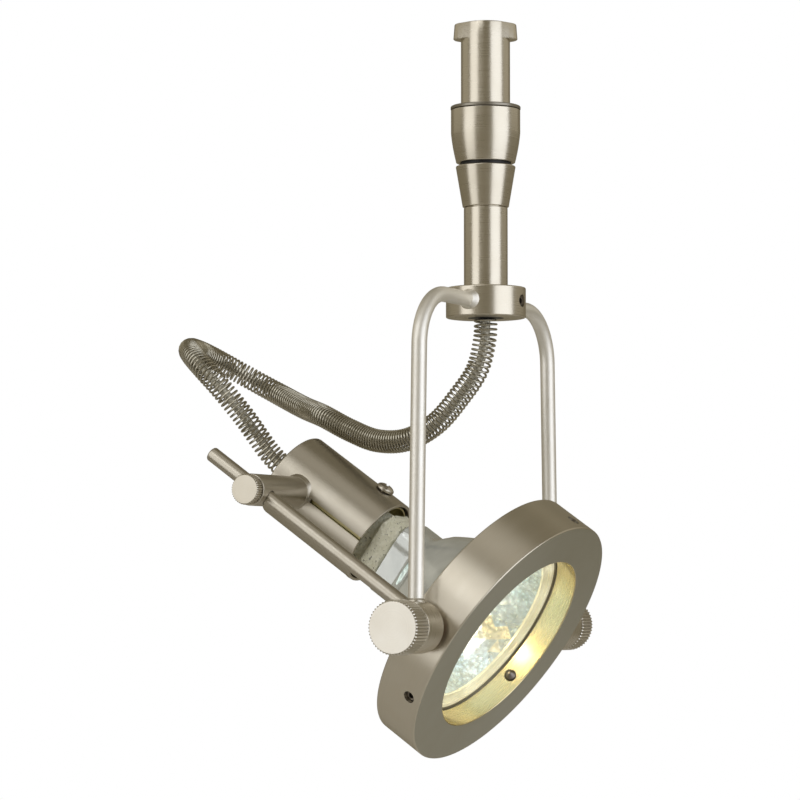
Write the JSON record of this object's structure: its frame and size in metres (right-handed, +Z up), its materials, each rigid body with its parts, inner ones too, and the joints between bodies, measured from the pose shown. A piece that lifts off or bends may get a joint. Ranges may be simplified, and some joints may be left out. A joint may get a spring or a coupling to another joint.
{
  "type": "track spotlight",
  "caption": "Low-voltage track spotlight with a rail connector, swivelling yoke, tilting gimbal ring lamp and sliding socket on a focusing rod.",
  "frame": {"origin": "centre of the rail connector's top face; the spotlight hangs below it", "axes": "+Z up along the stem, out of the connector's top face; Y along the head's tilt axis; the lamp points towards +X and 35 degrees down at rest"},
  "size_m": [0.1196, 0.1062, 0.1894],
  "materials": {
    "brushed_nickel": "brushed nickel plate",
    "steel_fasteners": "plain steel",
    "lead_armour": "nickel-plated spring wire",
    "black_nylon": "matte",
    "brass": "dull",
    "lamp_glass": "clear",
    "lamp_reflector": "facetted dichroic coating",
    "ceramic": "unglazed",
    "fibre": "red-brown fibre",
    "cable": "silicone insulation"
  },
  "bodies": {
    "connector": {"connector_stem": "brushed_nickel", "contact_insulator": "black_nylon", "centre_contact": "brass", "swivel_spigot": "steel_fasteners", "spigot_circlip": "steel_fasteners"},
    "lock_washer": {"pressure_washer": "brushed_nickel"},
    "lock_nut": {"lock_nut": "brushed_nickel"},
    "yoke": {"friction_washer": "black_nylon", "swivel_sleeve": "brushed_nickel", "lower_stem": "brushed_nickel", "upper_bush": "black_nylon", "stem_cable": "cable", "collar": "brushed_nickel", "collar_set_screw": "steel_fasteners", "yoke_arm_near": "brushed_nickel", "yoke_arm_far": "brushed_nickel", "barrel_near": "brushed_nickel", "barrel_washer_near": "fibre", "barrel_far": "brushed_nickel", "barrel_washer_far": "fibre"},
    "head": {"gimbal_ring": "brushed_nickel", "ring_set_screw_1": "steel_fasteners", "ring_set_screw_2": "steel_fasteners", "ring_set_screw_3": "steel_fasteners", "focus_rod": "brushed_nickel", "lamp_reflector": "lamp_reflector", "lamp_cover_glass": "lamp_glass", "lamp_capsule": "lamp_glass", "lamp_base": "ceramic", "lamp_pin_upper": "steel_fasteners", "lamp_pin_lower": "steel_fasteners"},
    "pivot_screw_near": {"pivot_screw_near": "brushed_nickel"},
    "pivot_screw_far": {"pivot_screw_far": "brushed_nickel"},
    "lamp_holder": {"socket_shell": "brushed_nickel", "socket_screw_upper": "brushed_nickel", "socket_screw_lower": "brushed_nickel", "clamp_post": "brushed_nickel", "socket_sleeve": "brass", "lamp_socket": "ceramic", "rear_bush": "black_nylon", "pin_contact_upper": "brass", "socket_wire_upper": "cable", "pin_contact_lower": "brass", "socket_wire_lower": "cable", "armoured_lead": "lead_armour"},
    "clamp_knob": {"clamp_knob": "brushed_nickel"}
  },
  "joints": [
    {"name": "washer_rise", "type": "slide", "parent": "connector", "child": "lock_washer", "axis": [0, 0, 1], "range_m": [0, 0.006]},
    {"name": "lock_nut_turn", "type": "hinge", "parent": "lock_washer", "child": "lock_nut", "pos_m": [0, 0, -0.03], "axis": [0, 0, 1], "range_deg": [0, 1440]},
    {"name": "pan", "type": "hinge", "parent": "connector", "child": "yoke", "pos_m": [0, 0, -0.04], "axis": [0, 0, 1], "range_deg": [-175, 175]},
    {"name": "tilt", "type": "hinge", "parent": "yoke", "child": "head", "pos_m": [0, 0, -0.1555], "axis": [0, 1, 0], "range_deg": [-45, 25], "deforming": ["armoured_lead"]},
    {"name": "pivot_screw_near_turn", "type": "hinge", "parent": "head", "child": "pivot_screw_near", "pos_m": [0, 0, -0.1555], "axis": [0, 1, 0], "range_deg": [0, 360]},
    {"name": "pivot_screw_far_turn", "type": "hinge", "parent": "head", "child": "pivot_screw_far", "pos_m": [0, 0, -0.1555], "axis": [0, 1, 0], "range_deg": [-360, 0]},
    {"name": "socket_slide", "type": "slide", "parent": "head", "child": "lamp_holder", "axis": [-0.8192, 0, 0.5736], "range_m": [0, 0.008], "deforming": ["armoured_lead"]},
    {"name": "clamp_knob_turn", "type": "hinge", "parent": "lamp_holder", "child": "clamp_knob", "pos_m": [-0.04948, -0.036, -0.12086], "axis": [0, 1, 0], "range_deg": [0, 360]}
  ],
  "couplings": [
    {"joint": "washer_rise", "follows": "lock_nut_turn", "m_per_rad": 0.00023873}
  ]
}
